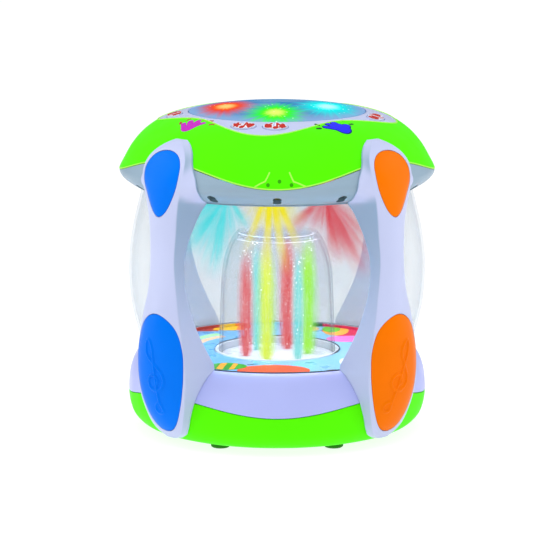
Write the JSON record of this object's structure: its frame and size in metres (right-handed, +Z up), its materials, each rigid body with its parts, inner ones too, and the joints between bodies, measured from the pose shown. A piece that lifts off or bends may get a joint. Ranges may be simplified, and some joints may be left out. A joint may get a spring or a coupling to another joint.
{
  "type": "musical activity drum",
  "caption": "Round light-up hand drum for toddlers: domed top with a drum pad, clear barrel window with a blown tinsel fountain, and corner posts with touch pads.",
  "frame": {"origin": "centre of the footprint, on the surface it stands on", "axes": "+Z up through the middle of the drum pad, -Y towards the front, +X to the right as seen from the front"},
  "size_m": [0.198, 0.198, 0.2068],
  "materials": {
    "green_shell": "bright green moulded ABS, semi-gloss",
    "lavender_shell": "pale lavender moulded ABS, semi-gloss",
    "housing_shell": "grey-lavender moulded ABS, satin",
    "blue_plastic": "saturated blue moulded plastic, gloss, embossed",
    "orange_plastic": "saturated orange moulded plastic, gloss, embossed",
    "clear_plastic": "clear polystyrene, polished",
    "translucent_pad": "translucent pale blue plastic over lamps",
    "white_plastic": "off-white moulded ABS",
    "printed_disc": "printed garden scene, gloss laminate",
    "tinsel": "iridescent foil strands",
    "lens_cyan": "translucent cyan lens",
    "lens_yellow": "translucent yellow lens",
    "lens_red": "translucent red lens",
    "black_plastic": "black ABS",
    "circuit_board": "green solder mask",
    "battery_wrap": "plain shrink-wrapped steel cell",
    "screw_steel": "zinc plated steel",
    "foot_rubber": "dark green soft rubber"
  },
  "bodies": {
    "drum": {"base_lower_shell": "green_shell", "base_upper_shell": "lavender_shell", "scene_disc": "printed_disc", "foot_front_left": "foot_rubber", "foot_front_right": "foot_rubber", "foot_rear_right": "foot_rubber", "foot_rear_left": "foot_rubber", "speaker": "black_plastic", "main_board": "circuit_board", "battery_1": "battery_wrap", "battery_2": "battery_wrap", "battery_3": "battery_wrap", "fountain_bowl": "white_plastic", "fan_motor": "screw_steel", "tinsel_fountain": "tinsel", "fountain_dome": "clear_plastic", "window_shell": "clear_plastic", "top_housing": "housing_shell", "top_cover": "green_shell", "top_panel": "lavender_shell", "light_board": "circuit_board", "cover_screw_01": "screw_steel", "cover_screw_02": "screw_steel", "cover_screw_03": "screw_steel", "cover_screw_04": "screw_steel", "cover_screw_05": "screw_steel", "cover_screw_06": "screw_steel", "cover_screw_07": "screw_steel", "cover_screw_08": "screw_steel", "cover_screw_09": "screw_steel", "cover_screw_10": "screw_steel", "cover_screw_11": "screw_steel", "cover_screw_12": "screw_steel", "beam_lens_cyan": "lens_cyan", "beam_lens_yellow": "lens_yellow", "beam_lens_red": "lens_red", "pad_spring_1": "screw_steel", "pad_spring_2": "screw_steel", "pad_spring_3": "screw_steel", "post_front_left": "lavender_shell", "post_front_right": "lavender_shell", "post_rear_right": "lavender_shell", "post_rear_left": "lavender_shell", "teardrop_inlay_front_left": "blue_plastic", "teardrop_inlay_front_right": "orange_plastic", "teardrop_inlay_rear_right": "blue_plastic", "teardrop_inlay_rear_left": "orange_plastic"},
    "pad": {"drum_pad": "translucent_pad"},
    "touch_front_left": {"touch_pad_front_left": "blue_plastic"},
    "touch_front_right": {"touch_pad_front_right": "orange_plastic"},
    "touch_rear_right": {"touch_pad_rear_right": "blue_plastic"},
    "touch_rear_left": {"touch_pad_rear_left": "orange_plastic"},
    "button_front_left": {"song_button_front_left": "lavender_shell"},
    "button_front_right": {"song_button_front_right": "lavender_shell"},
    "button_left": {"song_button_left": "lavender_shell"},
    "button_right": {"song_button_right": "lavender_shell"},
    "switch": {"power_switch": "black_plastic"},
    "door": {"battery_door": "green_shell", "battery_door_screw": "screw_steel"},
    "fan": {"fan_impeller": "white_plastic"}
  },
  "joints": [
    {"name": "drum_pad_press", "type": "slide", "parent": "drum", "child": "pad", "axis": [0, 0, -1], "range_m": [0, 0.002], "stiffness_N_per_m": 1000, "springref_m": -0.001, "deforming": ["pad_spring_1", "pad_spring_2", "pad_spring_3"]},
    {"name": "touch_front_left_press", "type": "slide", "parent": "drum", "child": "touch_front_left", "axis": [0.7071, 0.7071, 0], "range_m": [0, 0.0012], "stiffness_N_per_m": 600, "springref_m": -0.0008},
    {"name": "touch_front_right_press", "type": "slide", "parent": "drum", "child": "touch_front_right", "axis": [-0.7071, 0.7071, 0], "range_m": [0, 0.0012], "stiffness_N_per_m": 600, "springref_m": -0.0008},
    {"name": "touch_rear_right_press", "type": "slide", "parent": "drum", "child": "touch_rear_right", "axis": [-0.7071, -0.7071, 0], "range_m": [0, 0.0012], "stiffness_N_per_m": 600, "springref_m": -0.0008},
    {"name": "touch_rear_left_press", "type": "slide", "parent": "drum", "child": "touch_rear_left", "axis": [0.7071, -0.7071, 0], "range_m": [0, 0.0012], "stiffness_N_per_m": 600, "springref_m": -0.0008},
    {"name": "button_front_left_press", "type": "slide", "parent": "drum", "child": "button_front_left", "axis": [0.0834, 0.2494, -0.9648], "range_m": [0, 0.001], "stiffness_N_per_m": 300, "springref_m": -0.0005},
    {"name": "button_front_right_press", "type": "slide", "parent": "drum", "child": "button_front_right", "axis": [0.0046, 0.2629, -0.9648], "range_m": [0, 0.001], "stiffness_N_per_m": 300, "springref_m": -0.0005},
    {"name": "button_left_press", "type": "slide", "parent": "drum", "child": "button_left", "axis": [0.2619, 0.0229, -0.9648], "range_m": [0, 0.001], "stiffness_N_per_m": 300, "springref_m": -0.0005},
    {"name": "button_right_press", "type": "slide", "parent": "drum", "child": "button_right", "axis": [-0.2508, 0.0791, -0.9648], "range_m": [0, 0.001], "stiffness_N_per_m": 300, "springref_m": -0.0005},
    {"name": "power_switch_slide", "type": "slide", "parent": "drum", "child": "switch", "axis": [1, 0, 0], "range_m": [0, 0.007]},
    {"name": "battery_door_hinge", "type": "hinge", "parent": "drum", "child": "door", "pos_m": [0, 0.0052, 0.004], "axis": [-1, 0, 0], "range_deg": [0, 75]},
    {"name": "fan_spin", "type": "hinge", "parent": "drum", "child": "fan", "pos_m": [0, 0, 0.04], "axis": [0, 0, 1], "continuous": true}
  ]
}
